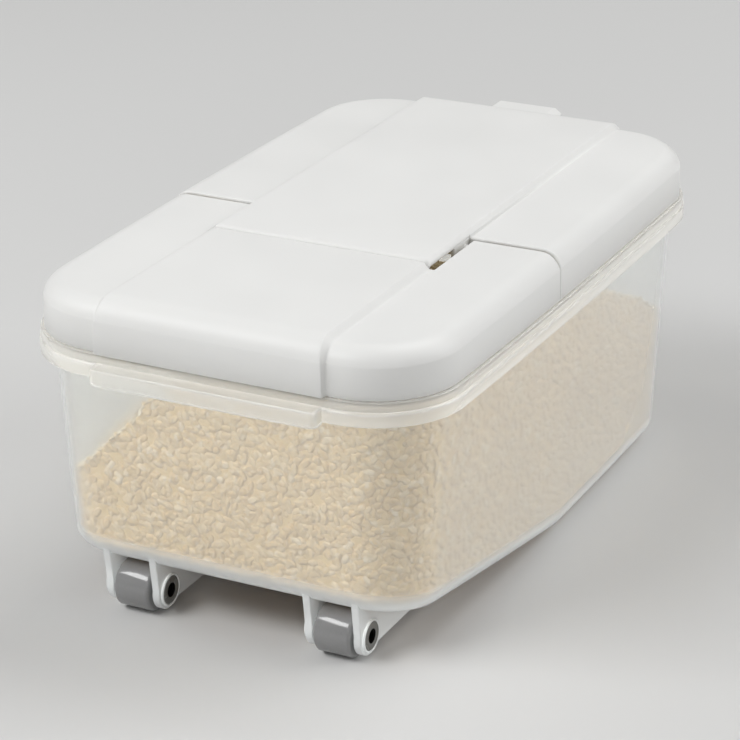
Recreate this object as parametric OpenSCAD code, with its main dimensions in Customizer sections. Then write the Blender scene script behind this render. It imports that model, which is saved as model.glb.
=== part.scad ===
// Rice bin with a flip lid, two front rollers and a lift-off lid.
// +X is the bin's right, +Y its rear, +Z up; the origin is on the floor under the centre.

/* [Rim] */
// Width of the bin across its rim
rim_w = 212; // [190:1:240]
// Length of the bin along its rim, without the grips
rim_l = 341.6; // [310:1:390]
// Plan radius of the rim's corners
corner_r = 42.6; // [34:0.5:50]
// How far the long sides bow outwards
side_bow = 2.4; // [1:0.1:5]
// How far the short ends bow outwards
end_bow = 1; // [0.5:0.1:3]
// Height of the rim's top face above the floor
rim_z = 134.9; // [120:0.5:150]
// Depth of the rim's skirt
skirt_h = 11.4; // [9:0.1:16]
// Depth of the narrower upper bead of the skirt
bead_h = 4.5; // [3:0.1:6]
// How far the upper bead steps in from the lower skirt
bead_step = 0.6; // [0.3:0.1:1.2]
// Height of the upright lip inside the lid
lip_h = 6; // [4:0.5:9]
// Half width of each end grip
grip_half_w = 56.5; // [40:0.5:70]
// How far each end grip stands out from the rim
grip_out = 6.7; // [4:0.1:10]
// How far each end grip reaches below the skirt
grip_drop = 1; // [0:0.1:3]
// Corner radius of the end grips
grip_r = 3; // [2.5:0.1:5]

/* [Tub] */
// Wall of the tub
wall = 2; // [1.6:0.1:2.6]
// How far the rim stands out from the tub's wall
overhang = 7.15; // [6.2:0.05:9]
// Draft of the tub's walls in degrees
draft = 2.8; // [1:0.1:4]
// Radius between the tub's walls and its underside
base_r = 9; // [6:0.5:14]
// Height of the underside above the floor at the front
front_lift = 30.2; // [26:0.1:34]
// Height of the underside above the floor at the rear
foot_h = 2; // [1:0.1:4]
// Where the sloping underside meets the level part
bend_y = 8; // [-30:1:40]
// Width of the two skids under the rear
skid_w = 4; // [2:0.5:8]
// Distance of the skids from the middle
skid_x = 52; // [30:1:64]
// How far the skids stop short of the rim's rear edge
skid_setback = 44; // [35:1:80]

/* [Casters] */
// Diameter of a roller
roller_d = 23; // [20:0.1:24]
// Width of a roller
roller_w = 18.2; // [12:0.1:24]
// Distance of each roller's centre from the middle
caster_x = 51.9; // [40:0.1:58]
// Distance of the axles behind the rim's front edge
axle_setback = 25.1; // [22:0.1:45]
// Diameter of an axle
axle_d = 9.2; // [7:0.1:11]
// Diameter of the hole through an axle
axle_bore_d = 6.8; // [4:0.1:7]
// Diameter of an axle's head
axle_head_d = 13.6; // [12.5:0.1:15]
// Thickness of an axle's head
axle_head_t = 1.1; // [0.8:0.1:2]
// How far the front edge of the fins is set back from the tub's front at the underside
fin_tuck = 1.6; // [0.5:0.1:4]
// Height of the round end of the fins above the floor
fin_clear = 2.2; // [1:0.1:3.5]
// Thickness of a caster fin
fin_t = 3.8; // [2.5:0.1:5]
// Thickness of the rib that runs back from each fin
rib_t = 2; // [1.5:0.1:2.5]
// Play between a roller and the fins beside it
roller_side_gap = 1.2; // [0.5:0.1:2]
// Radial play between a roller and its axle
roller_play = 0.08; // [0.04:0.01:0.1]

/* [Lid] */
// How far the lid's side wall sits in from the rim's edge
lid_inset = 2.4; // [1.5:0.1:3]
// Height of the lid, from its lower edge to the wings of the flip half
lid_h = 22.5; // [20:0.5:30]
// Radius of the lid's top edge
lid_edge_r = 10.3; // [7:0.1:12]
// Wall of the lid
lid_wall = 2; // [1.6:0.1:2.4]
// Gap between the lid and what it sits on or against
lid_gap = 0.4; // [0.3:0.05:0.5]
// Height of the raised band along the middle of the lid
band_rise = 2.9; // [2:0.1:4]
// How far the band stands out from the lid's end walls
band_out = 2.9; // [2:0.1:4]
// Half width of the band at its foot
band_half_w = 57.3; // [48:0.1:66]
// How far the rear half stands above the flip half
rear_rise = 0.7; // [0.3:0.1:1.5]
// How far the band's tongue reaches forward of the rear half
tongue_l = 43.4; // [30:0.1:60]
// Gap beside the tongue
tongue_side_gap = 3; // [2:0.1:4]
// Gap in front of the tongue
tongue_front_gap = 1.5; // [1.2:0.1:3]
// Radius of the tongue's front edge
tongue_edge_r = 2.4; // [1.5:0.1:3]
// Depth of the tongue's edge in front of its cheeks
tongue_rim = 4; // [3:0.1:6]
// Depth of the tongue's cheeks below its top
cheek_h = 13; // [12:0.5:16]
// How far the cheeks reach in front of the hinge
cheek_l = 12; // [6:0.5:20]
// Depth of the rib under the rear half's front edge
front_rib_h = 8; // [4:0.5:12]
// Half width of the rear pull tab
tab_half_w = 20; // [12:0.5:30]
// How far the rear pull tab stands out from the band
tab_out = 4.8; // [3:0.1:6]
// Thickness of the rear pull tab
tab_t = 3; // [2:0.1:4]
// How far the rear pull tab lies below the band's top
tab_below = 1.4; // [0.5:0.1:2.5]

/* [Hinge] */
// Distance of the lid's hinge from the middle, towards the front
hinge_back = 25.2; // [10:0.1:40]
// Diameter of a hinge pin
pin_d = 4; // [3:0.1:5]
// Wall round a hinge pin
knuckle_wall = 1.8; // [1.4:0.1:2.4]
// How far the flip half reaches behind its hinge
flip_tail = 2.8; // [2:0.1:4]
// Radius of the edges that face each other at the hinge
split_edge_r = 1.2; // [0.8:0.1:1.4]
// Clearance between the two halves as the flip half swings
swing_gap = 0.55; // [0.4:0.05:1]
// Width of a knuckle
knuckle_w = 6; // [4:0.5:8]
// Radial play between a hinge pin and the flip half
pin_play = 0.06; // [0.03:0.01:0.1]
// Radial gap between a fixed pin and the hole that holds it
press_gap = 0.02; // [0.01:0.01:0.03]

/* [Hidden] */

eps = 0.01;
round_fn = 64;
ball_fn = 32;

// Plan of the rim: two side arcs, two end arcs and four corner arcs that touch them.
half_w = rim_w / 2;
half_l = rim_l / 2;
side_r = (half_l * half_l + side_bow * side_bow) / (2 * side_bow);
end_r = (half_w * half_w + end_bow * end_bow) / (2 * end_bow);
side_centre = [half_w - side_r, 0];
end_centre = [0, half_l - end_r];
corner = meeting_point(side_centre, side_r - corner_r, end_centre, end_r - corner_r);
side_turn = atan2(corner[1], corner[0] - side_centre[0]);
end_turn = atan2(corner[1] - end_centre[1], corner[0]);

// Heights of the rim, lid and hinge
skirt_z = rim_z - skirt_h;
bead_z = rim_z - bead_h;
lid_z = rim_z + lid_gap;
wing_z = lid_z + lid_h;
rear_wing_z = wing_z + rear_rise;
band_slope = band_rise;
lip_inset = lid_inset + lid_wall + lid_gap + 0.2;
cavity_inset = overhang + wall;

// Hinge: the pin's axis lies one knuckle radius under the flip half's wings.
hinge_y = -hinge_back;
knuckle_r = pin_d / 2 + knuckle_wall;
hinge_z = wing_z - knuckle_r;
flip_end_y = hinge_y + flip_tail;
tail_arc = [flip_tail - split_edge_r, knuckle_r - split_edge_r];
rear_front_y = hinge_y + norm(tail_arc) + split_edge_r + swing_gap;
cheek_x = band_half_w - 1;
notch_x = cheek_x + tongue_side_gap;
tongue_y = rear_front_y - tongue_l;
notch_y = tongue_y - tongue_front_gap;
tongue_z = rear_wing_z + band_rise;
pin_inner_x = cheek_x - lid_wall - knuckle_w + 0.5;
pin_outer_x = notch_x + knuckle_w - lid_gap;

// Casters
axle_y = axle_setback - half_l;
axle_z = roller_d / 2;
fin_inner_x = roller_w / 2 + roller_side_gap;
fin_outer_x = fin_inner_x + fin_t;
fin_r = axle_z - fin_clear;
fin_top_y = fin_tuck + drafted(front_lift) - half_l;
rib_z = 3.6;
boss_r = axle_head_d / 2 + 1.2;
boss_t = axle_head_t + 0.1;

// Point where two circles meet, on the left of the line from the first centre to the second.
function meeting_point(c1, r1, c2, r2) =
    let (v = c2 - c1, d = norm(v), u = v / d,
         a = (r1 * r1 - r2 * r2 + d * d) / (2 * d),
         h = sqrt(r1 * r1 - a * a))
    c1 + a * u + h * [-u[1], u[0]];

function on_arc(centre, r, turn) = centre + r * [cos(turn), sin(turn)];

// First quarter of the plan, moved in by an inset.
function quarter(inset, sides = 3, corners = 9, ends = 3) = concat(
    [for (i = [0 : sides - 1]) on_arc(side_centre, side_r - inset, side_turn * i / sides)],
    [for (i = [0 : corners - 1])
        on_arc(corner, corner_r - inset, side_turn + (end_turn - side_turn) * i / corners)],
    [for (i = [0 : ends]) on_arc(end_centre, end_r - inset, end_turn + (90 - end_turn) * i / ends)]);

function flipped(points, sx, sy) = [for (p = points) [sx * p[0], sy * p[1]]];
function backwards(points, skip) = [for (i = [len(points) - 1 - skip : -1 : 0]) points[i]];
function half_plan(inset) = concat(quarter(inset), backwards(flipped(quarter(inset), -1, 1), 1));
function plan(inset) =
    let (rear = half_plan(inset))
    concat(rear, [for (i = [len(rear) - 2 : -1 : 1]) [rear[i][0], -rear[i][1]]]);

// Height of the tub's underside, and how far its wall has drafted in there.
function underside(y) =
    y > bend_y ? foot_h : foot_h + (front_lift - foot_h) * (bend_y - y) / (bend_y + half_l);
function drafted(z) = overhang + tan(draft) * (skirt_z - z);

// Centre of the ball that rounds the underside, in the direction of a turn about a corner.
function base_ball(sx, sy, turn) =
    let (r = corner_r - drafted(underside(sy * half_l)) - base_r,
         y = sy * (corner[1] + r * sin(turn)))
    [sx * (corner[0] + r * cos(turn)), y, underside(y) + base_r];

module plate(inset, z0, z1) {
    translate([0, 0, z0]) linear_extrude(z1 - z0) polygon(plan(inset));
}

module wall_ring(outer, inner, z0, z1) {
    difference() {
        plate(outer, z0, z1);
        plate(inner, z0 - eps, z1 + eps);
    }
}

// The tub's form below the skirt: a drafted hull with a rounded, partly sloping underside.
module tub_form(shrink) {
    hull() {
        plate(overhang + shrink, skirt_z, skirt_z + eps);
        for (sx = [-1, 1], sy = [-1, 1], turn = [0 : 10 : 90])
            translate(base_ball(sx, sy, turn)) sphere(base_r - shrink, $fn = ball_fn);
        for (sx = [-1, 1])
            translate([sx * (half_w - drafted(foot_h) - base_r), bend_y, foot_h + base_r])
                sphere(base_r - shrink, $fn = ball_fn);
    }
}

module grip_block(sy, inset, z0, z1) {
    r = grip_r - inset;
    reach = half_l + grip_out - inset;
    translate([0, 0, z0]) linear_extrude(z1 - z0) {
        for (sx = [-1, 1])
            translate([sx * (grip_half_w - inset - r), sy * (reach - r)]) circle(r, $fn = round_fn);
        translate([0, sy * (reach - grip_out / 2 - wall)])
            square([2 * (grip_half_w - inset - r), grip_out + 2 * wall], center = true);
        translate([0, sy * (reach - r - grip_out / 2 - wall)])
            square([2 * (grip_half_w - inset), grip_out + 2 * wall], center = true);
    }
}

// Stepped rim with a skirt that is open from below, an upright lip and a grip at each end.
module rim() {
    difference() {
        union() {
            plate(bead_step, bead_z - eps, rim_z);
            plate(0, skirt_z, bead_z);
            for (sy = [-1, 1]) grip_block(sy, 0, skirt_z - grip_drop, bead_z);
        }
        difference() {
            union() {
                plate(bead_step + wall, skirt_z - grip_drop - eps, rim_z - wall);
                for (sy = [-1, 1])
                    grip_block(sy, wall, skirt_z - grip_drop - eps, bead_z - wall);
            }
            plate(overhang, skirt_z - grip_drop - 2 * eps, rim_z);
        }
        plate(cavity_inset, skirt_z - grip_drop - eps, rim_z + eps);
    }
    wall_ring(lip_inset, cavity_inset, rim_z - wall, rim_z);
    wall_ring(lip_inset, lip_inset + wall, rim_z - eps, rim_z + lip_h);
}

// Side outline of a caster fin: slanted front edge, round end under the axle.
module fin_outline() {
    translate([axle_y, axle_z]) circle(fin_r, $fn = round_fn);
    polygon([
        [axle_y - fin_r * cos(15), axle_z + fin_r * sin(15)],
        [fin_top_y, front_lift + base_r],
        [axle_y, front_lift + base_r],
        [axle_y + fin_r, underside(axle_y + fin_r) + wall],
        [axle_y + fin_r, axle_z],
        [axle_y, axle_z]
    ]);
}

// Side outline of the rib behind a fin: level lower edge up to where the underside meets it.
module rib_outline() {
    end_y = bend_y - (rib_z - foot_h + wall) * (bend_y + half_l) / (front_lift - foot_h);
    polygon([
        [axle_y, rib_z],
        [end_y, rib_z],
        [axle_y, underside(axle_y) + wall / 2]
    ]);
}

module upright_plate(x0, thickness) {
    translate([x0, 0, 0]) rotate([90, 0, 90]) linear_extrude(thickness) children();
}

module along_x(x0, x1) {
    translate([x0, axle_y, axle_z]) rotate([0, 90, 0]) linear_extrude(x1 - x0) children();
}

module caster_fins(cx) {
    for (sx = [-1, 1]) {
        x0 = sx > 0 ? cx + fin_inner_x : cx - fin_outer_x;
        upright_plate(x0, fin_t) fin_outline();
        upright_plate(x0 + (fin_t - rib_t) / 2, rib_t) rib_outline();
    }
    along_x(cx + fin_outer_x - eps, cx + fin_outer_x + boss_t) difference() {
        circle(boss_r, $fn = round_fn);
        circle(axle_head_d / 2 + press_gap, $fn = round_fn);
    }
    along_x(cx - fin_outer_x - boss_t, cx - fin_outer_x + eps) circle(boss_r, $fn = round_fn);
}

module skids() {
    for (sx = [-1, 1])
        translate([sx * skid_x - skid_w / 2, bend_y + base_r, 0])
            cube([skid_w, half_l - skid_setback - bend_y - base_r, foot_h + wall / 2]);
}

module tub() {
    color("#e9e8e2") difference() {
        union() {
            tub_form(0);
            for (cx = [-caster_x, caster_x]) caster_fins(cx);
            skids();
            rim();
        }
        tub_form(wall);
        for (cx = [-caster_x, caster_x])
            along_x(cx - fin_outer_x - wall, cx + fin_outer_x + wall)
                circle(axle_d / 2 + press_gap, $fn = round_fn);
    }
}

// Closed form of the lid with a rounded top edge.
module lid_form(top_z, inset, edge_r, bottom_z) {
    hull() {
        plate(inset, bottom_z, top_z - edge_r);
        for (turn = [15 : 15 : 90])
            plate(inset + edge_r * (1 - cos(turn)),
                  top_z - edge_r + edge_r * sin(turn) - eps,
                  top_z - edge_r + edge_r * sin(turn));
    }
}

// Prism along Y that cuts the raised band out of a larger lid form, with sloping shoulders.
module band_prism(foot_z, shrink) {
    foot = band_half_w - shrink;
    rotate([90, 0, 0]) linear_extrude(2 * rim_l, center = true) polygon([
        [-foot, lid_z - 2 * wall], [foot, lid_z - 2 * wall], [foot, foot_z - shrink],
        [foot - band_slope, foot_z + band_rise - shrink],
        [band_slope - foot, foot_z + band_rise - shrink], [-foot, foot_z - shrink]
    ]);
}

module lid_shell(top_z) {
    difference() {
        union() {
            lid_form(top_z, lid_inset, lid_edge_r, lid_z);
            intersection() {
                lid_form(top_z + band_rise, lid_inset - band_out, lid_edge_r + band_rise, lid_z);
                band_prism(top_z, 0);
            }
        }
        lid_form(top_z - lid_wall, lid_inset + lid_wall, lid_edge_r - lid_wall, lid_z - wall);
        intersection() {
            lid_form(top_z + band_rise - lid_wall, lid_inset - band_out + lid_wall,
                     lid_edge_r + band_rise - lid_wall, lid_z - wall);
            band_prism(top_z, lid_wall);
        }
    }
}

// Everything in front of y0, with a rounded upper edge at that face.
module front_half(y0, top_z, edge_r) {
    upright_plate(-rim_w, 2 * rim_w) {
        translate([-rim_l, 0]) square([rim_l + y0, top_z - edge_r]);
        translate([-rim_l, 0]) square([rim_l + y0 - edge_r, top_z + 2 * band_rise]);
        translate([y0 - edge_r, top_z - edge_r]) circle(edge_r, $fn = round_fn);
    }
}

module rear_half(y0, top_z, edge_r) {
    mirror([0, 1, 0]) front_half(-y0, top_z, edge_r);
}

module hinge_cylinder(x0, x1, r) {
    translate([x0, hinge_y, hinge_z]) rotate([0, 90, 0]) cylinder(x1 - x0, r, r, $fn = round_fn);
}

// The flip half: wings, band, a notch round the tongue and a knuckle at each side of the notch.
module flip_lid() {
    color("#f4f4f2") difference() {
        union() {
            difference() {
                intersection() {
                    lid_shell(wing_z);
                    front_half(flip_end_y, wing_z, split_edge_r);
                }
                translate([-notch_x, notch_y, 0]) cube([2 * notch_x, rim_l, 2 * wing_z]);
            }
            for (sx = [0, 1]) mirror([sx, 0, 0]) {
                hinge_cylinder(notch_x, notch_x + knuckle_w, knuckle_r);
                translate([notch_x, hinge_y - knuckle_r, hinge_z])
                    cube([knuckle_w, knuckle_r, knuckle_r - lid_wall / 2]);
            }
        }
        for (sx = [0, 1]) mirror([sx, 0, 0])
            hinge_cylinder(notch_x - wall, notch_x + knuckle_w + wall, pin_d / 2 + pin_play);
    }
}

// Tongue of the band: a trough upside down with sloping shoulders and a round front edge.
module tongue_form(shrink) {
    side = cheek_x - shrink;
    top = tongue_z - shrink;
    r = tongue_edge_r;
    intersection() {
        rotate([90, 0, 0]) translate([0, 0, -rear_front_y - lid_wall])
            linear_extrude(tongue_l + 2 * lid_wall) polygon([
                [-side, tongue_z - cheek_h - shrink], [side, tongue_z - cheek_h - shrink],
                [side, top - band_slope + 1], [side - band_slope + 1, top],
                [band_slope - 1 - side, top], [-side, top - band_slope + 1]
            ]);
        upright_plate(-rim_w, 2 * rim_w) {
            translate([tongue_y + shrink, 0]) square([tongue_l + 2 * lid_wall, top - r]);
            translate([tongue_y + shrink + r, 0]) square([tongue_l + lid_wall, top]);
            translate([tongue_y + shrink + r, top - r]) circle(r, $fn = round_fn);
        }
    }
}

// Pull tab with sloping ends on the rear edge of the band.
module pull_tab() {
    top = tongue_z - tab_below;
    reach = half_l - lid_inset + band_out + tab_out;
    root = reach - tab_out - lid_edge_r - lid_wall;
    translate([0, reach, 0]) rotate([90, 0, 0]) linear_extrude(reach - root) polygon([
        [-tab_half_w, top - tab_t], [tab_half_w, top - tab_t],
        [tab_half_w - tab_t * 1.4, top], [tab_t * 1.4 - tab_half_w, top]
    ]);
}

// The rear half: wings, band with its tongue, a stiffening rib, hinge bosses and a pull tab.
module rear_lid() {
    color("#f4f4f2") difference() {
        union() {
            intersection() {
                lid_shell(rear_wing_z);
                rear_half(rear_front_y, rear_wing_z, split_edge_r);
            }
            difference() {
                tongue_form(0);
                tongue_form(lid_wall);
                translate([-rim_w, tongue_y - lid_wall, 0])
                    cube([2 * rim_w, hinge_y - cheek_l - tongue_y + lid_wall, tongue_z - tongue_rim]);
            }
            intersection() {
                lid_form(rear_wing_z - lid_wall / 2, lid_inset + lid_wall / 2, lid_edge_r, lid_z);
                translate([-half_w, rear_front_y, rear_wing_z - lid_wall - front_rib_h])
                    cube([rim_w, lid_wall, front_rib_h + lid_wall / 2]);
            }
            for (sx = [0, 1]) mirror([sx, 0, 0])
                hinge_cylinder(pin_inner_x - 0.5, cheek_x - lid_wall / 2, knuckle_r);
            difference() {
                pull_tab();
                lid_form(tongue_z - lid_wall / 2, lid_inset - band_out + lid_wall / 2,
                         lid_edge_r + band_rise, lid_z);
            }
        }
        for (sx = [0, 1]) mirror([sx, 0, 0])
            hinge_cylinder(pin_inner_x - wall, cheek_x + wall, pin_d / 2 + press_gap);
    }
}

module hinge_pin(sx) {
    color("#f4f4f2") mirror([sx < 0 ? 1 : 0, 0, 0])
        hinge_cylinder(pin_inner_x, pin_outer_x, pin_d / 2);
}

// Hollow axle with a round head on its right-hand end.
module axle(cx) {
    color("#8a8a8a") difference() {
        union() {
            along_x(cx - fin_outer_x - boss_t, cx + fin_outer_x + axle_head_t)
                circle(axle_d / 2, $fn = round_fn);
            along_x(cx + fin_outer_x, cx + fin_outer_x + axle_head_t)
                circle(axle_head_d / 2, $fn = round_fn);
        }
        along_x(cx - fin_outer_x - wall, cx + fin_outer_x + wall)
            circle(axle_bore_d / 2, $fn = round_fn);
    }
}

// Solid roller with rounded rims, turned about its axle.
module roller(cx) {
    rim_r = 1.2;
    hw = roller_w / 2;
    color("#8c8c8c") translate([cx, axle_y, axle_z]) rotate([0, 90, 0]) rotate_extrude($fn = round_fn)
        difference() {
            union() {
                translate([0, -hw]) square([roller_d / 2 - rim_r, roller_w]);
                translate([0, rim_r - hw]) square([roller_d / 2, roller_w - 2 * rim_r]);
                for (sy = [-1, 1])
                    translate([roller_d / 2 - rim_r, sy * (hw - rim_r)]) circle(rim_r, $fn = ball_fn);
            }
            translate([-roller_d, -roller_w]) square([roller_d + axle_d / 2 + roller_play, 2 * roller_w]);
        }
}

tub();
rear_lid();
flip_lid();
hinge_pin(-1);  // hinge_pin_left
hinge_pin(1);  // hinge_pin_right
axle(-caster_x);  // axle_left
axle(caster_x);  // axle_right
roller(-caster_x);  // roller_left
roller(caster_x);  // roller_right
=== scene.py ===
import math
import random

import bmesh
import bpy
import numpy
from mathutils import Matrix, Vector, geometry, noise


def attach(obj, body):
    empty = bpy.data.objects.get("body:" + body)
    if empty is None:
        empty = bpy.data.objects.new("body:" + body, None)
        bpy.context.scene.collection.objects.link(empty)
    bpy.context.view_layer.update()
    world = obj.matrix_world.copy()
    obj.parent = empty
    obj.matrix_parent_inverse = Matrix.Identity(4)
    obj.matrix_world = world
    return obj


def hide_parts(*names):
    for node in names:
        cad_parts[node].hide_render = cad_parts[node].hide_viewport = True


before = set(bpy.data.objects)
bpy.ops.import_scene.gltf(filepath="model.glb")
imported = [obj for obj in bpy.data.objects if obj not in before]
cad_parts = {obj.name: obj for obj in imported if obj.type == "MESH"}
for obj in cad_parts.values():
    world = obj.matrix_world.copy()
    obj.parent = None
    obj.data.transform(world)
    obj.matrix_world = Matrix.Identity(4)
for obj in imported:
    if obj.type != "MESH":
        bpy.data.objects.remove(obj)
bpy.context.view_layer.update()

# Sizes are in millimetres; finish_piece turns a mesh to metres. Camera, lamps and floor are in metres.
MM = 0.001

# Plan of the rim: side, corner and end arcs that touch each other.
HALF_W, HALF_L = 106.0, 170.8
CORNER_R, SIDE_BOW, END_BOW = 42.6, 2.4, 1.0
SIDE_R = (HALF_L**2 + SIDE_BOW**2) / (2 * SIDE_BOW)
END_R = (HALF_W**2 + END_BOW**2) / (2 * END_BOW)
SIDE_C = Vector((HALF_W - SIDE_R, 0, 0))
END_C = Vector((0, HALF_L - END_R, 0))
CORNER_C = max(
    geometry.intersect_sphere_sphere_2d(SIDE_C.xy, SIDE_R - CORNER_R, END_C.xy, END_R - CORNER_R),
    key=lambda point: point.x,
).to_3d()
SIDE_TURN = math.atan2(CORNER_C.y, CORNER_C.x - SIDE_C.x)
END_TURN = math.atan2(CORNER_C.y - END_C.y, CORNER_C.x)

# Tub: walls that lean out, a base that rises to the front, a stepped rim and its grips
WALL = 2.0
FOOT_H, BEND_Y, RAMP = 2.0, 8.0, 28.2 / 178.8
BASE_R, BASE_INSET, TOP_INSET = 9.0, 22.09, 7.15
BASE_TOP = FOOT_H + BASE_R
SKIRT_Z, BEAD_Z, RIM_Z, LIP_Z = 123.5, 130.4, 134.9, 140.9
DRAFT = (BASE_INSET - BASE_R - TOP_INSET) / (SKIRT_Z - BASE_TOP)
GRIP_X, GRIP_CORNER, GRIP_REACH, GRIP_DROP = 56.5, 3.0, 6.7, 1.0

# Casters: fins, rollers and axles, and the skids under the rear
AXLE_Y, AXLE_Z, CASTER_X = -145.7, 11.5, 51.9
FIN_IN, FIN_OUT, FIN_R, FIN_EDGE = 10.3, 14.1, 9.3, 0.55
FIN_FRONT = ((-150, 27.9), (-154, 29), (-156.1, 30.8), (-157.2, 32.4))
RIB_FRONT, RIB_Z, RIB_HALF, FIN_SINK = -136.5, 3.6, 1.0, 1.0
BOSS_R, BOSS_REACH, BOSS_SINK = 8.0, 1.2, 0.05
AXLE_R, AXLE_BORE, DISC_R, DISC_REACH, TURN_GAP = 4.6, 3.4, 6.8, 1.1, 0.02
ROLLER_R, ROLLER_HALF, ROLLER_BORE, ROLLER_EDGE = 11.5, 9.1, 4.68, 1.5
SKID_X, SKID_HALF, SKID_END = 52, 2, HALF_L - 44

# Lid: level wings, a band raised between sloping shoulders, and the split between the two halves
LID_Z, WING_Z, REAR_WING_Z, EDGE_R = 135.05, 157.8, 158.5, 10.3
LID_INSET, LID_CHAMFER = 2.4, 0.2
BAND_RISE, BAND_FOOT, SHOULDER_EASE = 2.9, 57.3, 0.2
SHOULDER_COLUMNS = (0.58, 0.3, 0, -0.3, -0.58, -2.3, -2.6, -2.9, -3.2, -3.48, -7.3)
CLOSING, CLOSING_REACH = 0.8, 3
FLIP_END, REAR_FRONT, SPLIT_GAP = -22.4, -20.6, 0.6
TONGUE_Y, TONGUE_Z, NOSE_R, CHEEK_X = -63.8, 161.4, 2.4, 56.3
NOTCH_Y, NOTCH_X = -65.3, 59.3
CHEEK_LENGTH, CHEEK_DEPTH, TONGUE_DEPTH = 12, 13, 4
FLIP_EDGE, REAR_EDGE = 0.7, 0.9

# Hinge: knuckles of both halves and the pins through them
HINGE_Y, HINGE_Z, KNUCKLE_R, PIN_R = -25.2, 154.0, 3.8, 2.0
PIN_START, PIN_END, TURNED_EDGE = 48.8, 64.9, 0.4

# Pull tab at the rear
TAB_HALF, TAB_TAPER, TAB_EDGE = 20, 4.2, 0.6
TAB_Y, TAB_Z = (164, 176.1), (157, 160)

# Rice: how near the wall it lies, how full the tub is, and a grain's half length, width and thickness
RICE_GAP, RICE_TOP = 1.9, 135.0
RICE_R = BASE_R - WALL - RICE_GAP
GRAIN_HALVES = ((2.4, 3.0), (1.6, 2.0), (0.48, 0.6))
GRAINS = {
    "front": 2600,
    "right_front": 2700,
    "right_rear": 2700,
    "left_front": 2400,
    "left_rear": 2400,
    "rear": 2000,
    "top_left": 5400,
    "top_right": 5400,
}


def underside(y):
    """Height of the tub's underside: level at the rear, rising to the front."""
    return FOOT_H + max(0.0, BEND_Y - y) * RAMP


def outward(point):
    """Direction away from the plan's middle, square to its outline."""
    x, y = abs(point.x), abs(point.y)
    away = Vector((max(0.0, x - CORNER_C.x), max(0.0, y - CORNER_C.y), 0))
    if away.length < 1e-6:
        away = Vector((1, 0, 0))
    away.normalize()
    return Vector((math.copysign(away.x, point.x), math.copysign(away.y, point.y), 0))


def plan_inset(point):
    """How far a point lies inside the rim's outline."""
    x, y = abs(point.x), abs(point.y)
    if x > CORNER_C.x and y > CORNER_C.y:
        return CORNER_R - math.hypot(x - CORNER_C.x, y - CORNER_C.y)
    return min(SIDE_R - math.hypot(x - SIDE_C.x, y), END_R - math.hypot(x, y - END_C.y))


def base_curve(radius):
    """The rounded base edge as (inset, height) points, from the wall's foot down to the underside."""
    quarter = [math.radians(a) for a in range(0, 91, 15)]
    return [(BASE_INSET - radius * math.cos(a), BASE_TOP - radius * math.sin(a)) for a in quarter]


def follow_ramp(point):
    """Lifts a point of the base with the sloping underside, and moves it out as the wall leans."""
    lift = underside(point.y) - FOOT_H
    point += outward(point) * lift * DRAFT
    point.z += lift


def sweep_plan(bm, section):
    """Spins a section of (inset, height) points round a quarter of the plan, then mirrors it twice."""
    verts = [bm.verts.new((HALF_W - inset, 0, z)) for inset, z in section]
    geom = verts + [bm.edges.new(pair) for pair in zip(verts, verts[1:])]
    side = (SIDE_C, SIDE_TURN, 10)
    corner = (CORNER_C, END_TURN - SIDE_TURN, 14)
    end = (END_C, math.pi / 2 - END_TURN, 5)
    for centre, turn, steps in (side, corner, end):
        spun = bmesh.ops.spin(bm, geom=geom, cent=centre, axis=(0, 0, 1), angle=turn, steps=steps)
        geom = spun["geom_last"]
    for axis in "YX":
        bmesh.ops.mirror(bm, geom=bm.verts[:] + bm.edges[:] + bm.faces[:], axis=axis, merge_dist=1e-3)
    bmesh.ops.remove_doubles(bm, verts=bm.verts, dist=1e-3)


def cap(bm, low, high):
    """Fills the open loops between two heights."""
    rim = [e for e in bm.edges if e.is_boundary and all(low <= v.co.z <= high for v in e.verts)]
    bmesh.ops.holes_fill(bm, edges=rim, sides=0)


def cut(bm, axis, *places):
    """Cuts the mesh across an axis at each place, so that it has vertices there."""
    normal = Vector((axis == "x", axis == "y", axis == "z"))
    for place in places:
        whole = bm.verts[:] + bm.edges[:] + bm.faces[:]
        bmesh.ops.bisect_plane(bm, geom=whole, dist=1e-4, plane_co=normal * place, plane_no=normal)


def both(*values):
    """The values and their negatives."""
    return [sign * value for value in values for sign in (-1, 1)]


def keep(bm, inside):
    """Removes each face whose middle is outside."""
    gone = [f for f in bm.faces if not inside(f.calc_center_median())]
    bmesh.ops.delete(bm, geom=gone, context="FACES")


def only_verts(geom):
    """The vertices among what an operator returned."""
    return [g for g in geom if isinstance(g, bmesh.types.BMVert)]


def grow_across(bm, width):
    """Extrudes a flat outline along X."""
    grown = bmesh.ops.extrude_face_region(bm, geom=bm.faces[:])["geom"]
    bmesh.ops.translate(bm, verts=only_verts(grown), vec=(width, 0, 0))


def turned(bm, profile, y, z, steps=48):
    """Spins a closed profile of (x, radius) points about a line along X."""
    verts = [bm.verts.new((x, y + radius, z)) for x, radius in profile]
    edges = [bm.edges.new((a, b)) for a, b in zip(verts, verts[1:] + verts[:1])]
    bmesh.ops.spin(
        bm, geom=verts + edges, cent=(0, y, z), axis=(1, 0, 0), angle=2 * math.pi, steps=steps, use_merge=True
    )


def box(bm, low, high):
    """A block between two corners."""
    low, high = Vector(low), Vector(high)
    size = Matrix.Diagonal((*(high - low), 1))
    return bmesh.ops.create_cube(bm, size=1, matrix=Matrix.Translation((low + high) / 2) @ size)["verts"]


def join(bm, make, *sizes):
    """Makes a part in a mesh of its own and adds it."""
    part = bmesh.new()
    make(part, *sizes)
    bmesh.ops.recalc_face_normals(part, faces=part.faces)
    mesh = bpy.data.meshes.new("part")
    part.to_mesh(mesh)
    part.free()
    bm.from_mesh(mesh)
    bpy.data.meshes.remove(mesh)


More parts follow.
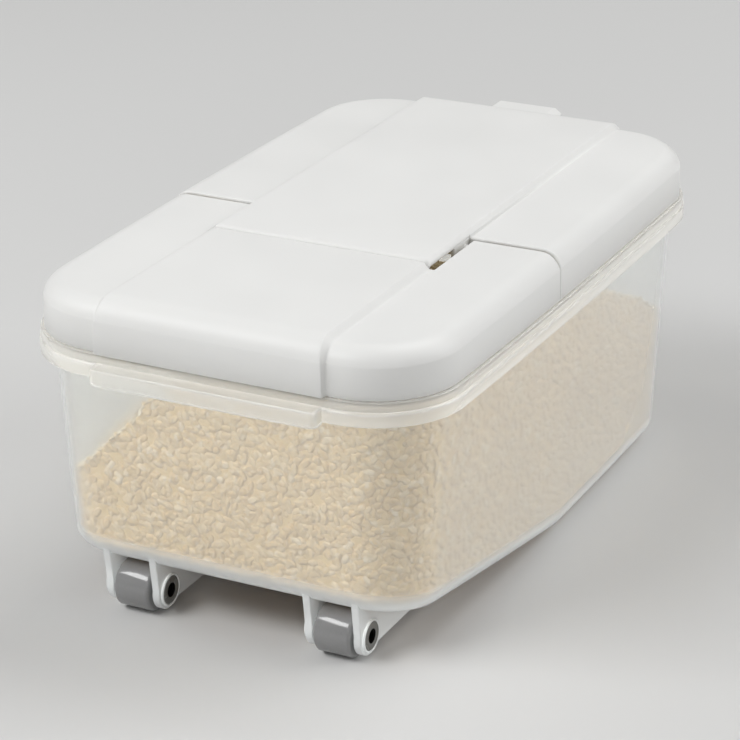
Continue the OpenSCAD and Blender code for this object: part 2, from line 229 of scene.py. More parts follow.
def place_piece(mesh, name, material, body, nodes=(), crisp=0):
    """Puts a finished mesh on its body, smooth but for edges sharper than the crisp angle."""
    mesh.materials.append(material)
    mesh.polygons.foreach_set("use_smooth", [True] * len(mesh.polygons))
    if crisp:
        mesh.set_sharp_from_angle(angle=math.radians(crisp))
    piece = bpy.data.objects.new(name, mesh)
    bpy.context.scene.collection.objects.link(piece)
    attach(piece, body)
    if nodes:
        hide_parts(*nodes)
    return piece


def finish_piece(bm, name, material, body, nodes=(), crisp=35, normals=True):
    """Makes the object, in metres at the origin, and puts it on its body."""
    if normals:
        bmesh.ops.recalc_face_normals(bm, faces=bm.faces)
    bmesh.ops.scale(bm, vec=(MM, MM, MM), verts=bm.verts)
    mesh = bpy.data.meshes.new(name)
    bm.to_mesh(mesh)
    bm.free()
    return place_piece(mesh, name, material, body, nodes, crisp)


def give_wall(piece, thickness):
    """Thickens a skin inwards."""
    wall = piece.modifiers.new("wall", "SOLIDIFY")
    wall.thickness = thickness * MM
    wall.offset = -1
    wall.use_even_offset = True


def round_edges(piece, radius, angle=None):
    """Rounds the edges sharper than an angle, or the marked ones where none is given."""
    rounding = piece.modifiers.new("edges", "BEVEL")
    rounding.width = radius * MM
    rounding.segments = 3
    rounding.limit_method = "WEIGHT" if angle is None else "ANGLE"
    if angle is not None:
        rounding.angle_limit = math.radians(angle)
    rounding.use_clamp_overlap = False
    rounding.harden_normals = True


# Materials


def linear(colour):
    """An sRGB hex colour as a linear one."""
    channels = [int(colour[i : i + 2], 16) / 255 for i in (1, 3, 5)]
    return [c / 12.92 if c <= 0.04045 else ((c + 0.055) / 1.055) ** 2.4 for c in channels] + [1.0]


def add(tree, kind, inputs=(), **settings):
    """Adds a node with its settings; an input is a value or another node's output to link."""
    node = tree.nodes.new("ShaderNode" + kind)
    for key, value in settings.items():
        setattr(node, key, value)
    for key, value in dict(inputs).items():
        if isinstance(value, bpy.types.NodeSocket):
            tree.links.new(value, node.inputs[key])
        else:
            node.inputs[key].default_value = value
    return node


def new_material(name):
    """An empty material, its node tree and the object coordinates that its patterns follow."""
    material = bpy.data.materials.new(name)
    material.use_nodes = True
    tree = material.node_tree
    tree.nodes.clear()
    return material, tree, add(tree, "TexCoord").outputs["Object"]


def patches(tree, place, size, detail):
    """Noise with patches of about a size in millimetres."""
    return add(tree, "TexNoise", {"Vector": place, "Scale": 1 / (size * MM), "Detail": detail}).outputs[0]


def maths(tree, operation, *values):
    """One step of arithmetic on values or node outputs."""
    return add(tree, "Math", dict(enumerate(values)), operation=operation).outputs[0]


def spread(tree, value, across, to):
    """A value's range taken to another range, and held at its ends."""
    limits = {"Value": value, "From Min": across[0], "From Max": across[1], "To Min": to[0], "To Max": to[1]}
    return add(tree, "MapRange", limits).outputs[0]


def mixed(tree, factor, low, high, blend="MIX"):
    """A colour between two, each a hex colour or another node's output."""
    low, high = [linear(colour) if isinstance(colour, str) else colour for colour in (low, high)]
    return add(tree, "Mix", {0: factor, 6: low, 7: high}, data_type="RGBA", blend_type=blend).outputs[2]


def bumped(tree, height, strength, depth, **under):
    """Relief of a depth in millimetres."""
    inputs = {"Height": height, "Strength": strength, "Distance": depth * MM}
    return add(tree, "Bump", inputs | under).outputs[0]


def finish_material(tree, surface, shine_through=None):
    """Ends a material; lamps shine through a thin wall in the colour given."""
    if shine_through:
        clear = add(tree, "BsdfTransparent", {"Color": (*shine_through, 1)}).outputs[0]
        shadow_ray = add(tree, "LightPath").outputs["Is Shadow Ray"]
        surface = add(tree, "MixShader", {0: shadow_ray, 1: surface, 2: clear}).outputs[0]
    add(tree, "OutputMaterial", {"Surface": surface})


def frosted_polypropylene():
    """Natural polypropylene, moulded with a light etch.

    It is clear face on, and milky in the rim, along the base and where it is seen aslant.
    Its underside is painted tan: painted warm light, standing in for the light that passes through the rice
    onto the floor below.
    """
    material, tree, place = new_material("frosted_polypropylene")
    etching = patches(tree, place, 0.4, 2.0)
    haze = patches(tree, place, 60, 2.0)
    axes = add(tree, "SeparateXYZ", {0: place}).outputs
    ahead = maths(tree, "MAXIMUM", maths(tree, "SUBTRACT", BEND_Y * MM, axes[1]), 0.0)
    level = maths(tree, "MULTIPLY_ADD", ahead, -RAMP, axes[2])
    above_base = maths(tree, "SUBTRACT", level, FOOT_H * MM)
    aslant = add(tree, "LayerWeight", {"Blend": 0.5}).outputs["Facing"]
    rim = (122 * MM, 124 * MM)
    in_rim = spread(tree, axes[2], rim, (1.0, 0.87))
    in_base = spread(tree, above_base, (1 * MM, 12 * MM), (0.45, 1.0))
    thick = maths(tree, "MULTIPLY", in_rim, in_base)
    plain = mixed(tree, spread(tree, axes[2], rim, (0, 1)), "#fbfdfd", "#fbfaf6")
    # Painted warm light: where the underside is level with the base and faces down, it is painted tan.
    off_painted_glow_level = spread(tree, maths(tree, "ABSOLUTE", above_base), (0.8 * MM, 3 * MM), (0, 1))
    normal = add(tree, "SeparateXYZ", {0: add(tree, "NewGeometry").outputs["True Normal"]}).outputs
    off_painted_glow_facing = spread(tree, normal[2], (-0.97, -0.9), (0, 1))
    skin = {
        # The tan is painted warm light, not the plastic's own colour.
        "Base Color": mixed(tree, maths(tree, "MAXIMUM", off_painted_glow_level, off_painted_glow_facing), "#ad854c", plain),
        "Roughness": spread(tree, haze, (0.3, 0.7), (0.18, 0.21)),
        "IOR": 1.49,
        "Transmission Weight": maths(tree, "MULTIPLY", thick, spread(tree, aslant, (0.6, 1.0), (0.82, 0.35))),
        "Normal": bumped(tree, etching, 0.08, 0.05),
    }
    finish_material(tree, add(tree, "BsdfPrincipled", skin).outputs[0], shine_through=(0.97, 0.97, 0.965))
    return material


def white_polypropylene():
    """White polypropylene from a polished mould: soft gloss, a faint ripple, thin enough to glow."""
    material, tree, place = new_material("white_polypropylene")
    ripple = patches(tree, place, 45, 1.0)
    fine = bumped(tree, patches(tree, place, 0.5, 2.0), 0.05, 0.04)
    skin = {
        "Base Color": mixed(tree, ripple, "#e6e6e4", "#eaeae8"),
        "Roughness": spread(tree, ripple, (0.3, 0.7), (0.42, 0.5)),
        "IOR": 1.49,
        "Subsurface Weight": 0.08,
        "Subsurface Radius": (0.004, 0.0038, 0.0035),
        "Subsurface Scale": 1.0,
        "Normal": bumped(tree, ripple, 0.25, 0.3, Normal=fine),
    }
    finish_material(tree, add(tree, "BsdfPrincipled", skin).outputs[0], shine_through=(0.4, 0.395, 0.38))
    return material


def grey_abs(name, dark, light, roughness, bore=0.0):
    """Grey ABS, moulded and glossy, with fine scratches round it; inside a bore it is painted near-black as
    shade.
    """
    material, tree, place = new_material(name)
    turning = (1 / (0.25 * MM), 1 / (8 * MM), 1 / (8 * MM))
    stretched = add(tree, "Mapping", {"Vector": place, "Scale": turning}).outputs[0]
    scratch = add(tree, "TexNoise", {"Vector": stretched, "Scale": 1.0, "Detail": 1.0}).outputs[0]
    colour = mixed(tree, patches(tree, place, 1.2, 3.0), dark, light)
    # Painted shade: within the bore's radius the colour is near-black, standing in for the shade in the hole.
    if bore:
        axle = (0, -AXLE_Y * MM, -AXLE_Z * MM)
        centred = add(tree, "Mapping", {"Vector": place, "Location": axle, "Scale": (0, 1, 1)}).outputs[0]
        radius = add(tree, "VectorMath", {0: centred}, operation="LENGTH").outputs["Value"]
        colour = mixed(tree, spread(tree, radius, (bore * MM, bore * 1.03 * MM), (0, 1)), "#141312", colour)
    skin = {
        "Base Color": colour,
        "Roughness": spread(tree, scratch, (0.35, 0.65), (roughness - 0.02, roughness + 0.03)),
        "IOR": 1.53,
        "Normal": bumped(tree, scratch, 0.06, 0.03),
    }
    finish_material(tree, add(tree, "BsdfPrincipled", skin).outputs[0])
    return material


def rice_grain(name, shades):
    """Polished short rice: cream and waxy, each grain a slightly different shade, some chalky."""
    material, tree, place = new_material(name)
    own = add(tree, "NewGeometry").outputs["Random Per Island"]
    shade = add(tree, "ValToRGB", {"Fac": own})
    stops = shade.color_ramp.elements
    stops.remove(stops[1])
    stops[0].color = linear(shades[0])
    for position, colour in zip((0.25, 0.7, 0.93, 1.0), shades[1:]):
        stops.new(position).color = linear(colour)
    mottle = mixed(tree, patches(tree, place, 2.5, 2.0), "#faf5ea", "#ffffff")
    colour = mixed(tree, 1.0, shade.outputs[0], mottle, blend="MULTIPLY")
    skin = add(tree, "BsdfPrincipled", {"Base Color": colour, "Roughness": 0.55, "IOR": 1.45}).outputs[0]
    glow = add(tree, "BsdfTranslucent", {"Color": colour}).outputs[0]
    finish_material(tree, add(tree, "MixShader", {0: 0.2, 1: skin, 2: glow}).outputs[0])
    return material


def rice_depth_painted_shade():
    """The rice behind the outer grains: painted a darker cream than the grains as shade in the gaps between
    them, in grain-sized patches.
    """
    material, tree, place = new_material("rice_behind")
    patch = add(tree, "TexVoronoi", {"Vector": place, "Scale": 1 / (3 * MM)}).outputs["Distance"]
    # The darker cream is painted shade between the grains.
    skin = {"Base Color": mixed(tree, patch, "#e6ca93", "#dbbb80"), "Roughness": 0.7}
    finish_material(tree, add(tree, "BsdfPrincipled", skin).outputs[0])
    return material


def painted_board():
    """Painted board for the floor: an even pale grey."""
    material, tree, place = new_material("painted_board")
    cloud = add(tree, "TexNoise", {"Vector": place, "Scale": 1.5, "Detail": 1.0}).outputs[0]
    skin = {"Base Color": mixed(tree, cloud, "#d0d0cf", "#d4d4d3"), "Roughness": 0.75, "IOR": 1.3}
    finish_material(tree, add(tree, "BsdfPrincipled", skin).outputs[0])
    return material


FROSTED = frosted_polypropylene()
WHITE = white_polypropylene()
ROLLER_GREY = grey_abs("grey_abs", "#868686", "#8c8c8c", 0.11)
# The axle's bore is painted near-black as shade.
AXLE_GREY = grey_abs("dark_grey_abs", "#6c6c69", "#747470", 0.25, bore=AXLE_BORE + 0.05)
RICE = rice_grain("polished_rice", ("#e7ca93", "#ebcf9b", "#efd6a6", "#f3deb6", "#f7e7c8"))
# The grains on top are the same rice painted paler: painted light, offsetting the shade and warm bounce under
# the lid.
TOP_RICE_PAINTED_PALE = rice_grain("polished_rice_loose", ("#ecdab4", "#efdfbc", "#f3e5c6", "#f6ebd2", "#faf2e0"))
RICE_BEHIND = rice_depth_painted_shade()


# Camera, lights and floor

SENSOR, IMAGE_PX, FOCAL_PX, SHIFT_PX = 36.0, 740.0, 2754.9, (-33.1, -3.34)
CAMERA_PLACE = (0.55993, -1.11705, 0.59798)
AZIMUTH, ELEVATION, ROLL = math.radians(26.15), math.radians(22.72), math.radians(-0.25)
FLOOR_HALF = 4.0
WORLD_LEVEL = 0.22


def link(name, data):
    """Puts data in the scene as an object."""
    made = bpy.data.objects.new(name, data)
    bpy.context.scene.collection.objects.link(made)
    return made


def make_camera():
    """The view from the right of the front, a little above the lid."""
    lens = bpy.data.cameras.new("camera")
    lens.sensor_width = SENSOR
    lens.lens = FOCAL_PX / IMAGE_PX * SENSOR
    lens.shift_x, lens.shift_y = (shift / IMAGE_PX for shift in SHIFT_PX)
    lens.clip_end = 20
    camera = link("camera", lens)
    turn = Matrix.Rotation(AZIMUTH, 4, "Z") @ Matrix.Rotation(math.pi / 2 - ELEVATION, 4, "X")
    camera.matrix_world = Matrix.Translation(CAMERA_PLACE) @ turn @ Matrix.Rotation(ROLL, 4, "Z")
    bpy.context.scene.camera = camera
    bpy.context.scene.view_settings.view_transform = "Standard"


def soft_light(name, place, aim, size, watts):
    """A large lamp that faces a point."""
    lamp = bpy.data.lights.new(name, "AREA")
    lamp.shape = "RECTANGLE"
    lamp.size, lamp.size_y = size
    lamp.energy = watts
    light = link(name, lamp)
    light.location = place
    light.rotation_euler = (Vector(place) - Vector(aim)).to_track_quat("Z", "Y").to_euler()


def make_lights():
    """Lamps for a soft, even studio light, and a dim white surrounding."""
    soft_light("key_bank", (-1.42, -1.72, 2.42), (0.0, 0.0, 0.05), (2.0, 0.85), 57)
    soft_light("left_light", (-3.4, -0.9, 1.9), (0.0, 0.0, 0.1), (2.0, 2.0), 14)
    soft_light("right_light", (3.0, 2.0, 1.8), (0.0, 0.0, 0.1), (2.4, 2.4), 64)
    soft_light("top_light", (0.8, 1.5, 3.2), (0.1, 0.2, 0.0), (1.6, 1.6), 32)
    soft_light("camera_fill", (2.0, -3.6, 1.8), (0.0, 0.0, 0.1), (2.0, 2.0), 24)
    world = bpy.data.worlds.new("studio")
    bpy.context.scene.world = world
    world.use_nodes = True
    background = world.node_tree.nodes["Background"]
    background.inputs[0].default_value = (1, 1, 1, 1)
    background.inputs[1].default_value = WORLD_LEVEL


def make_floor():
    """The board that the bin stands on."""
    bm = bmesh.new()
    bmesh.ops.create_grid(bm, x_segments=8, y_segments=8, size=FLOOR_HALF)
    mesh = bpy.data.meshes.new("floor")
    bm.to_mesh(mesh)
    bm.free()
    mesh.materials.append(painted_board())
    link("floor", mesh)


# Tub


def rim_section():
    """The rim as (inset, height) points: inside the skirt, round it, over the bead and the inner lip."""
    under = RIM_Z - WALL
    points = [(TOP_INSET, SKIRT_Z), (TOP_INSET, under), (2.6, under), (2.6, BEAD_Z - 1.8), (2.0, BEAD_Z - 2)]
    points += [(2.0, SKIRT_Z + 0.6), (1.6, SKIRT_Z + 0.1), (1.0, SKIRT_Z)]
    points += [(0.4, SKIRT_Z + 0.1), (0.0, SKIRT_Z + 0.6)]
    points += [(0.0, BEAD_Z - 1.3), (0.12, BEAD_Z - 0.6), (0.5, BEAD_Z - 0.15), (1.15, BEAD_Z + 0.02)]
    points += [(1.15, BEAD_Z + 0.2), (0.78, BEAD_Z + 0.4), (0.6, BEAD_Z + 1)]
    points += [(0.6, RIM_Z - 1), (0.8, RIM_Z - 0.3), (1.4, RIM_Z), (4.8, RIM_Z), (5.0, RIM_Z + 0.2)]
    points += [(5.0, LIP_Z - 0.6), (5.3, LIP_Z - 0.1), (6.0, LIP_Z), (6.7, LIP_Z - 0.1), (7.0, LIP_Z - 0.6)]
    points += [(7.0, RIM_Z + 0.2), (7.2, RIM_Z), (TOP_INSET + WALL - 0.35, RIM_Z)]
    return points + [(TOP_INSET + WALL, RIM_Z - 0.3), (TOP_INSET + WALL, SKIRT_Z)]


def grip_reach(x, half, corner):
    """How far a grip stands out at x: full in the middle, round at its corners, nothing beside it."""
    x = abs(x)
    if x > half + 0.01:
        return 0.0
    over = max(0.0, x - (half - corner))
    return GRIP_REACH - corner + math.sqrt(max(0.0, corner**2 - over**2))


def tub_shell(bm):
    """The tub's wall, underside, stepped rim and grips, swept round the plan as one section."""
    sweep_plan(bm, base_curve(BASE_R)[::-1] + rim_section() + base_curve(BASE_R - WALL))
    cap(bm, 1, 5)
    cut(bm, "y", BEND_Y)
    corner = [GRIP_X - GRIP_CORNER + GRIP_CORNER * math.sin(math.radians(a)) for a in range(0, 91, 18)]
    inner = GRIP_X - WALL
    cut(bm, "x", *both(0, GRIP_X + 0.06, *corner), *both(inner + 0.06, inner, inner - 0.3, inner - 0.7))
    for v in bm.verts:
        point = v.co
        if point.z <= BASE_TOP + 0.01:
            follow_ramp(point)
        inset = plan_inset(point)
        if inset < WALL + 0.05 and SKIRT_Z - 0.1 < point.z < BEAD_Z - 0.1:
            thinner = WALL if inset > 1.5 else 0
            reach = grip_reach(point.x, GRIP_X - thinner, GRIP_CORNER - thinner)
            if point.z < SKIRT_Z + 0.7:
                point.z -= reach / GRIP_REACH * GRIP_DROP
            point.y += math.copysign(reach, point.y)


def fin_plate(bm, x0, x1):
    """One caster fin: upright front edge, round end under the axle, and a hole for the axle."""
    centre = Vector((x0, AXLE_Y, AXLE_Z))
    lean, sweep = math.radians(195), math.radians(165)
    start = bm.verts.new(centre + FIN_R * Vector((0, math.cos(lean), -math.sin(lean))))
    spun = bmesh.ops.spin(bm, geom=[start], cent=centre, axis=(1, 0, 0), angle=sweep, steps=18)
    rear = AXLE_Y + FIN_R
    corners = ((rear, underside(rear) + FIN_SINK), *FIN_FRONT)
    path = [*only_verts(spun["geom_last"]), *(bm.verts.new((x0, y, z)) for y, z in corners), start]
    for pair in zip(path, path[1:]):
        bm.edges.new(pair)
    hole = bm.verts.new(centre + Vector((0, AXLE_R + TURN_GAP, 0)))
    bmesh.ops.spin(bm, geom=[hole], cent=centre, axis=(1, 0, 0), angle=2 * math.pi, steps=40, use_merge=True)
    bmesh.ops.remove_doubles(bm, verts=bm.verts, dist=1e-4)
    bmesh.ops.triangle_fill(bm, use_beauty=True, edges=bm.edges[:])
    grow_across(bm, x1 - x0)


def rib_plate(bm, x0, x1):
    """The thin rib behind a fin: level lower edge, up to where the underside meets it."""
    end = BEND_Y - (RIB_Z - FOOT_H + FIN_SINK) / RAMP
    corners = ((RIB_FRONT, RIB_Z), (end, RIB_Z), (RIB_FRONT, underside(RIB_FRONT) + FIN_SINK))
    bm.faces.new([bm.verts.new((x0, y, z)) for y, z in corners])
    grow_across(bm, x1 - x0)


def boss(bm, x, side, hole):
    """The ring on a fin's outer face, round the axle or round its disc."""
    x0, x1 = sorted((x - side * BOSS_SINK, x + side * BOSS_REACH))
    turned(bm, ((x0, hole), (x1, hole), (x1, BOSS_R), (x0, BOSS_R)), AXLE_Y, AXLE_Z)


def make_tub():
    """The tub with its four caster fins, their ribs and bosses, and two skids."""
    bm = bmesh.new()
    tub_shell(bm)
    finish_piece(bm, "tub_shell", FROSTED, "tub", nodes=["tub"], crisp=40)
    feet = bmesh.new()
    for cx in both(CASTER_X):
        for side in (-1, 1):
            x0, x1 = sorted((cx + side * FIN_IN, cx + side * FIN_OUT))
            middle = (x0 + x1) / 2
            join(feet, fin_plate, x0, x1)
            join(feet, rib_plate, middle - RIB_HALF, middle + RIB_HALF)
        join(feet, boss, cx + FIN_OUT, 1, DISC_R + TURN_GAP)
        join(feet, boss, cx - FIN_OUT, -1, AXLE_R + TURN_GAP)
        skid = math.copysign(SKID_X, cx)
        low = (skid - SKID_HALF, BEND_Y + BASE_R, 0)
        join(feet, box, low, (skid + SKID_HALF, SKID_END, FOOT_H + 0.3))
    fins = finish_piece(feet, "caster_fins", FROSTED, "tub", crisp=40, normals=False)
    round_edges(fins, FIN_EDGE, angle=50)


# Lid


def shoulder(x, up):
    """The band's rise at x, from 0 beside it to 1 on it, and where that column of the mesh belongs.

    Up is how far the lid's surface faces up, from 0 on its side wall to 1 on its top.
    """
    across = abs(x)
    down = (BAND_FOOT - across) / BAND_RISE
    ease = SHOULDER_EASE
    if down <= -ease:
        rise = 0.0
    elif down < ease:
        rise = (down + ease) ** 2 / (4 * ease)
    elif down <= 1 - ease:
        rise = down
    elif down < 1 + ease:
        rise = 1 - (1 + ease - down) ** 2 / (4 * ease)
    else:
        rise = 1.0
    # On the lid's side wall the shoulder's columns close up, so that the band's edge is steep there.
    settled = BAND_FOOT + SHOULDER_COLUMNS[-1]
    near = max(0.0, min(1.0, (across - settled) / CLOSING_REACH))
    if across < BAND_FOOT:
        across += min(BAND_FOOT - across, BAND_RISE) * CLOSING * (1 - up) * near
    return rise, math.copysign(across, x)


def lid_form(top_z):
    """The whole lid as a skin: side wall, round top edge, level wings and the raised band."""
    start = top_z - EDGE_R
    arc = [math.radians(a) for a in (14, 16, *range(27, 91, 9))]
    edge = [(LID_INSET + EDGE_R * (1 - math.cos(a)), start + EDGE_R * math.sin(a)) for a in arc]
    crease = (edge[0][0] - 0.01, edge[0][1] - 0.4)
    bm = bmesh.new()
    sweep_plan(bm, [(LID_INSET + LID_CHAMFER, LID_Z), (LID_INSET, LID_Z + LID_CHAMFER), crease] + edge)
    cap(bm, top_z - 0.01, top_z + 0.01)
    cut(bm, "x", *both(*(BAND_FOOT + column for column in SHOULDER_COLUMNS)))
    for v in bm.verts:
        # The band stands out square to the surface: upwards on the top, outwards on the side wall.
        up = max(0.0, min(1.0, (v.co.z - start) / EDGE_R))
        rise, x = shoulder(v.co.x, up)
        v.co.y += math.copysign(BAND_RISE * rise * math.sqrt(1 - up**2), v.co.y)
        v.co.z += BAND_RISE * rise * up
        v.co.x = x
    return bm


def tube_profile(x0, x1, radius, hole):
    """A tube as (x, radius) points, with its outer edges taken off."""
    shy = radius - TURNED_EDGE
    points = [(x0, hole), (x1, hole), (x1, shy), (x1 - TURNED_EDGE, radius)]
    return points + [(x0 + TURNED_EDGE, radius), (x0, shy)]


def knuckle(bm, x0, x1, radius, hole):
    """A turned boss on the hinge line, with its hole."""
    turned(bm, tube_profile(x0, x1, radius, hole), HINGE_Y, HINGE_Z, steps=32)


def mark_split_edges(bm, soft):
    """Marks the open edges above the lid's lower one for rounding, each by how soft it is at its middle."""
    weight = bm.edges.layers.float.new("bevel_weight_edge")
    for e in bm.edges:
        along = all(abs(abs(v.co.x) - CHEEK_X) < 0.1 for v in e.verts)
        folded = along and len(e.link_faces) == 2 and e.calc_face_angle() > 0.4
        if (e.is_boundary or folded) and max(v.co.z for v in e.verts) > LID_Z + 1:
            e[weight] = soft((e.verts[0].co + e.verts[1].co) / 2)


def make_flip_lid():
    """The front half of the lid, notched round the tongue, and its knuckles."""
    bm = lid_form(WING_Z)
    cut(bm, "y", FLIP_END, NOTCH_Y)
    cut(bm, "x", *both(NOTCH_X))
    keep(bm, lambda c: c.y < FLIP_END and not (abs(c.x) < NOTCH_X and c.y > NOTCH_Y))
    mark_split_edges(bm, lambda middle: 1.0)
    lid = finish_piece(bm, "flip_lid_skin", WHITE, "flip", nodes=["flip_lid"], crisp=60)
    give_wall(lid, WALL)
    round_edges(lid, FLIP_EDGE)
    bm = bmesh.new()
    for side in (-1, 1):
        x0, x1 = sorted((side * (NOTCH_X + 0.05), side * (NOTCH_X + 6)))
        join(bm, knuckle, x0, x1, KNUCKLE_R - 0.05, PIN_R + 0.06)
        # The web between the knuckle and the lid's top
        low = (x0 + 0.3, HINGE_Y - KNUCKLE_R, HINGE_Z + 1.2)
        join(bm, box, low, (x1 - 0.3, HINGE_Y - 0.5, WING_Z - 1))
    finish_piece(bm, "flip_knuckles", WHITE, "flip", normals=False)


def grow_down(bm, back, front, depth):
    """Extrudes the tongue's open edge down from its top, between two places along it."""
    edge = [
        e
        for e in bm.edges
        if e.is_boundary
        and all(front - 0.01 < v.co.y < back + 0.01 and v.co.z > WING_Z - 2.8 for v in e.verts)
        and not all(abs(v.co.y - back) < 0.01 for v in e.verts)
    ]
    for v in only_verts(bmesh.ops.extrude_edge_only(bm, edges=edge)["geom"]):
        v.co.z = TONGUE_Z - depth


def rear_softness(middle):
    """How far the rear half's edges are rounded: less where the tongue's corners leave no room."""
    if abs(middle.x) < CHEEK_X - 0.1 and middle.y < REAR_FRONT - 0.1:
        return 0.0
    nose = middle.y - TONGUE_Y
    root = max(abs(abs(middle.x) - CHEEK_X), abs(middle.y - REAR_FRONT))
    return 1.0 if min(nose, root) > 1.5 else 0.0


def make_rear_lid():
    """The rear half of the lid, with the tongue and its cheeks."""
    bm = lid_form(REAR_WING_Z)
    cheek_end = HINGE_Y - CHEEK_LENGTH
    nose = [TONGUE_Y + NOSE_R - NOSE_R * math.sin(math.radians(a)) for a in range(0, 90, 18)]
    cut(bm, "y", REAR_FRONT, cheek_end, TONGUE_Y, *nose)
    cut(bm, "x", *both(CHEEK_X))
    keep(bm, lambda c: c.y > REAR_FRONT or (abs(c.x) < CHEEK_X and c.y > TONGUE_Y))
    for v in bm.verts:
        if abs(v.co.y - REAR_FRONT) < 0.01:
            # The side walls come closer to the flip half than the top, whose edge has to clear its swing.
            below = max(0.0, min(1.0, (HINGE_Z + 1 - v.co.z) / 5))
            v.co.y += (FLIP_END + SPLIT_GAP - REAR_FRONT) * below
        reach = min(NOSE_R, max(0.0, TONGUE_Y + NOSE_R - v.co.y))
        v.co.z -= NOSE_R - math.sqrt(NOSE_R**2 - reach**2)
    grow_down(bm, REAR_FRONT, TONGUE_Y - 1, TONGUE_DEPTH)
    grow_down(bm, REAR_FRONT, cheek_end, CHEEK_DEPTH)
    mark_split_edges(bm, rear_softness)
    lid = finish_piece(bm, "rear_lid_skin", WHITE, "lid", nodes=["rear_lid"], crisp=60)
    give_wall(lid, WALL)
    round_edges(lid, REAR_EDGE)


def make_rear_lid_inside():
    """The rear half's knuckles, and the wall that closes it behind the split."""
    bm = bmesh.new()
    for side in (-1, 1):
        x0, x1 = sorted((side * (PIN_START - 1), side * (CHEEK_X - 1)))
        join(bm, knuckle, x0, x1, KNUCKLE_R, PIN_R + 0.02)
    half, back, low, high = 92, REAR_FRONT + 0.8, 148.5, REAR_WING_Z - 1.6
    join(bm, box, (-half, back, low), (half, back + WALL, high))
    finish_piece(bm, "rear_lid_inside", WHITE, "lid", normals=False)


def make_pull_tab():
    """The tab at the rear, narrower at its top."""
    bm = bmesh.new()
    for v in box(bm, (-TAB_HALF, TAB_Y[0], TAB_Z[0]), (TAB_HALF, TAB_Y[1], TAB_Z[1])):
        if v.co.z > sum(TAB_Z) / 2:
            v.co.x -= math.copysign(TAB_TAPER, v.co.x)
    round_edges(finish_piece(bm, "pull_tab", WHITE, "lid", crisp=60), TAB_EDGE, angle=30)


def make_pins():
    """The two hinge pins."""
    for name, side in (("left", -1), ("right", 1)):
        bm = bmesh.new()
        x0, x1 = sorted((side * PIN_START, side * PIN_END))
        turned(bm, tube_profile(x0, x1, PIN_R, 0), HINGE_Y, HINGE_Z, steps=24)
        bmesh.ops.remove_doubles(bm, verts=bm.verts, dist=1e-3)
        finish_piece(bm, "pin_" + name, WHITE, "lid", nodes=["hinge_pin_" + name])


# Rollers and axles


def roller_profile(cx):
    """The roller as (x, radius) points: bore, flat face, a round right edge and a chamfered left one."""
    left, right = cx - ROLLER_HALF, cx + ROLLER_HALF
    points = [(left, ROLLER_BORE), (right, ROLLER_BORE), (right, ROLLER_R - ROLLER_EDGE - 0.4)]
    for a in range(0, 91, 18):
        x = right - ROLLER_EDGE * (1 - math.cos(math.radians(a)))
        points.append((x, ROLLER_R - ROLLER_EDGE * (1 - math.sin(math.radians(a)))))
    points += [(left + 1.4, ROLLER_R), (left + 0.9, ROLLER_R - 0.15), (left + 0.1, ROLLER_R - 1)]
    return points + [(left, ROLLER_R - 1.3)]


def axle_profile(cx):
    """The axle's tube as (x, radius) points, with a disc at its right end."""
    left, right, face = cx - FIN_OUT - BOSS_REACH, cx + FIN_OUT, cx + FIN_OUT + DISC_REACH
    points = [(left, AXLE_BORE), (face - 0.1, AXLE_BORE), (face, AXLE_BORE + 0.2), (face, DISC_R - 0.4)]
    points += [(face - 0.3, DISC_R), (right, DISC_R), (right, AXLE_R)]
    return points + [(left + 0.3, AXLE_R), (left, AXLE_R - 0.3)]


def make_casters():
    """A roller and an axle at each side."""
    for name, cx in (("left", -CASTER_X), ("right", CASTER_X)):
        bm = bmesh.new()
        turned(bm, roller_profile(cx), AXLE_Y, AXLE_Z, steps=72)
        roller = "roller_" + name
        finish_piece(bm, "roller_wheel_" + name, ROLLER_GREY, roller, [roller])
        bm = bmesh.new()
        turned(bm, axle_profile(cx), AXLE_Y, AXLE_Z)
        finish_piece(bm, "axle_tube_" + name, AXLE_GREY, "tub", ["axle_" + name])


# Rice


def heap_height(x, y):
    """Height of the rice: full at the front and right, sliding down to the left and the rear."""
    left_slope = 106 + 1.05 * (x + 39) + 0.16 * (y + 160)
    rear_slope = 111 - 0.48 * (y - 56)
    full = 129.0
    soft = 7.0
    level = -soft * math.log(sum(math.exp(-height / soft) for height in (left_slope, rear_slope, full)))
    level += 2.2 * noise.noise(Vector((x / 22, y / 22, 0))) + 1.0 * noise.noise(Vector((x / 7, y / 7, 5)))
    return max(level, underside(y) + 14)


def settle(point):
    """Moves a point of the rice's block to its place in the heap."""
    if point.z <= BASE_TOP + 0.01:
        follow_ramp(point)
        return
    base = BASE_TOP + underside(point.y) - FOOT_H
    share = (point.z - BASE_TOP) / (RICE_TOP - BASE_TOP)
    height = base + share * (heap_height(point.x, point.y) - base)
    at_wall = plan_inset(point) < BASE_INSET - RICE_R + 0.05
    if point.z < RICE_TOP - 0.01 or at_wall:
        point += outward(point) * (height - BASE_TOP) * DRAFT
    point.z = height


def side_of(normal, middle):
    """The coat of grains that a face of the heap belongs to."""
    if normal.z > 0.45:
        return "top" + ("_right" if middle.x > 0 else "_left")
    if abs(normal.y) > 0.75:
        return "front" if normal.y < 0 else "rear"
    return ("right" if normal.x > 0 else "left") + ("_front" if middle.y < 0 else "_rear")


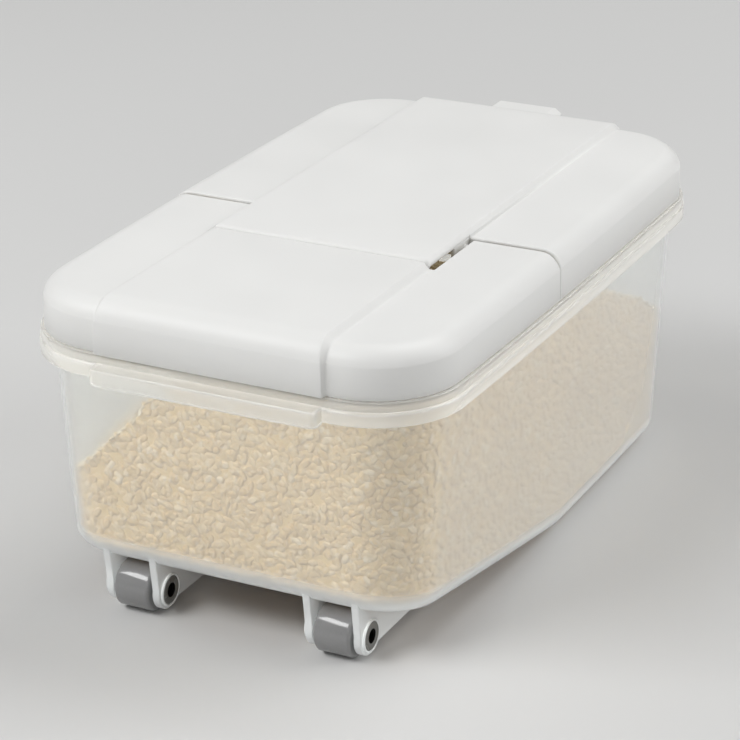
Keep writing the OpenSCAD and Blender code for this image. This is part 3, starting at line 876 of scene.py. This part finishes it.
def make_rice():
    """A solid heap inside the tub, then a coat of single grains on its sides and top."""
    section = base_curve(RICE_R)[::-1]
    bm = bmesh.new()
    sweep_plan(bm, section + [(section[-1][0], RICE_TOP)])
    cap(bm, 0, BASE_TOP - 1)
    cap(bm, RICE_TOP - 0.1, RICE_TOP + 0.1)
    cut(bm, "y", BEND_Y, *range(-155, 160, 9))
    cut(bm, "x", *range(-90, 91, 9))
    cut(bm, "z", *range(22, 131, 12))
    for v in bm.verts:
        settle(v.co)
    bmesh.ops.recalc_face_normals(bm, faces=bm.faces)
    bmesh.ops.triangulate(bm, faces=bm.faces[:])
    spots = {side: [] for side in GRAINS}
    for face in bm.faces:
        if face.normal.z >= -0.6:
            spot = (face.calc_area(), [v.co.copy() for v in face.verts], face.normal.copy())
            spots[side_of(face.normal, face.calc_center_median())].append(spot)
    finish_piece(bm, "rice_heap", RICE_BEHIND, "tub", crisp=0)
    chance = random.Random(7)
    for side, faces in spots.items():
        scatter_grains("rice_" + side, faces, GRAINS[side], side.startswith("top"), chance)


def many_grains(name, count):
    """A mesh of one rounded grain, repeated in place, and how many vertices a grain has."""
    bm = bmesh.new()
    lying = Matrix.Rotation(math.pi / 2, 4, "Y")
    bmesh.ops.create_uvsphere(bm, u_segments=6, v_segments=4, radius=1, matrix=lying)
    seed = bpy.data.meshes.new("grain")
    bm.to_mesh(seed)
    bm.free()
    carrier = link("grain", seed)
    repeat = carrier.modifiers.new("repeat", "ARRAY")
    repeat.count = count
    repeat.use_relative_offset = False
    now = carrier.evaluated_get(bpy.context.evaluated_depsgraph_get())
    mesh = bpy.data.meshes.new_from_object(now)
    mesh.name = name
    bpy.data.objects.remove(carrier)
    return mesh, len(seed.vertices)


def scatter_grains(name, faces, count, loose, chance):
    """Lays grains on the heap at even chance over its surface, less neatly on top, where they lie free and
    take the rice painted paler as painted light.
    """
    lean = 0.3 if loose else 0.1
    sunk, raised = (-0.3, 0.7) if loose else (-0.4, 0.3)
    picks = chance.choices(faces, weights=[area for area, _, _ in faces], k=count)
    turns, places = [], []
    for _, (a, b, c), normal in picks:
        u, w = chance.random(), chance.random()
        if u + w > 1:
            u, w = 1 - u, 1 - w
        spot = a + (b - a) * u + (c - a) * w
        tilt = chance.gauss(0, lean)
        spin = Matrix.Rotation(chance.uniform(0, math.pi), 3, "Z") @ Matrix.Rotation(tilt, 3, "Y")
        size = Matrix.Diagonal([chance.uniform(*half) for half in GRAIN_HALVES])
        depth = chance.uniform(sunk, raised)
        turns.append(normal.to_track_quat("Z", "Y").to_matrix() @ spin @ size)
        places.append(spot + normal * depth)
    mesh, corners = many_grains(name, count)
    points = numpy.empty(len(mesh.vertices) * 3)
    mesh.vertices.foreach_get("co", points)
    grains = numpy.einsum("gij,gvj->gvi", numpy.array(turns), points.reshape(count, corners, 3))
    grains += numpy.array(places)[:, None]
    mesh.vertices.foreach_set("co", (grains * MM).ravel())
    # Grains on top take the rice painted paler as painted light.
    place_piece(mesh, name, TOP_RICE_PAINTED_PALE if loose else RICE, "tub")


make_camera()
make_lights()
make_floor()
make_tub()
make_flip_lid()
make_rear_lid()
make_rear_lid_inside()
make_pull_tab()
make_pins()
make_casters()
make_rice()
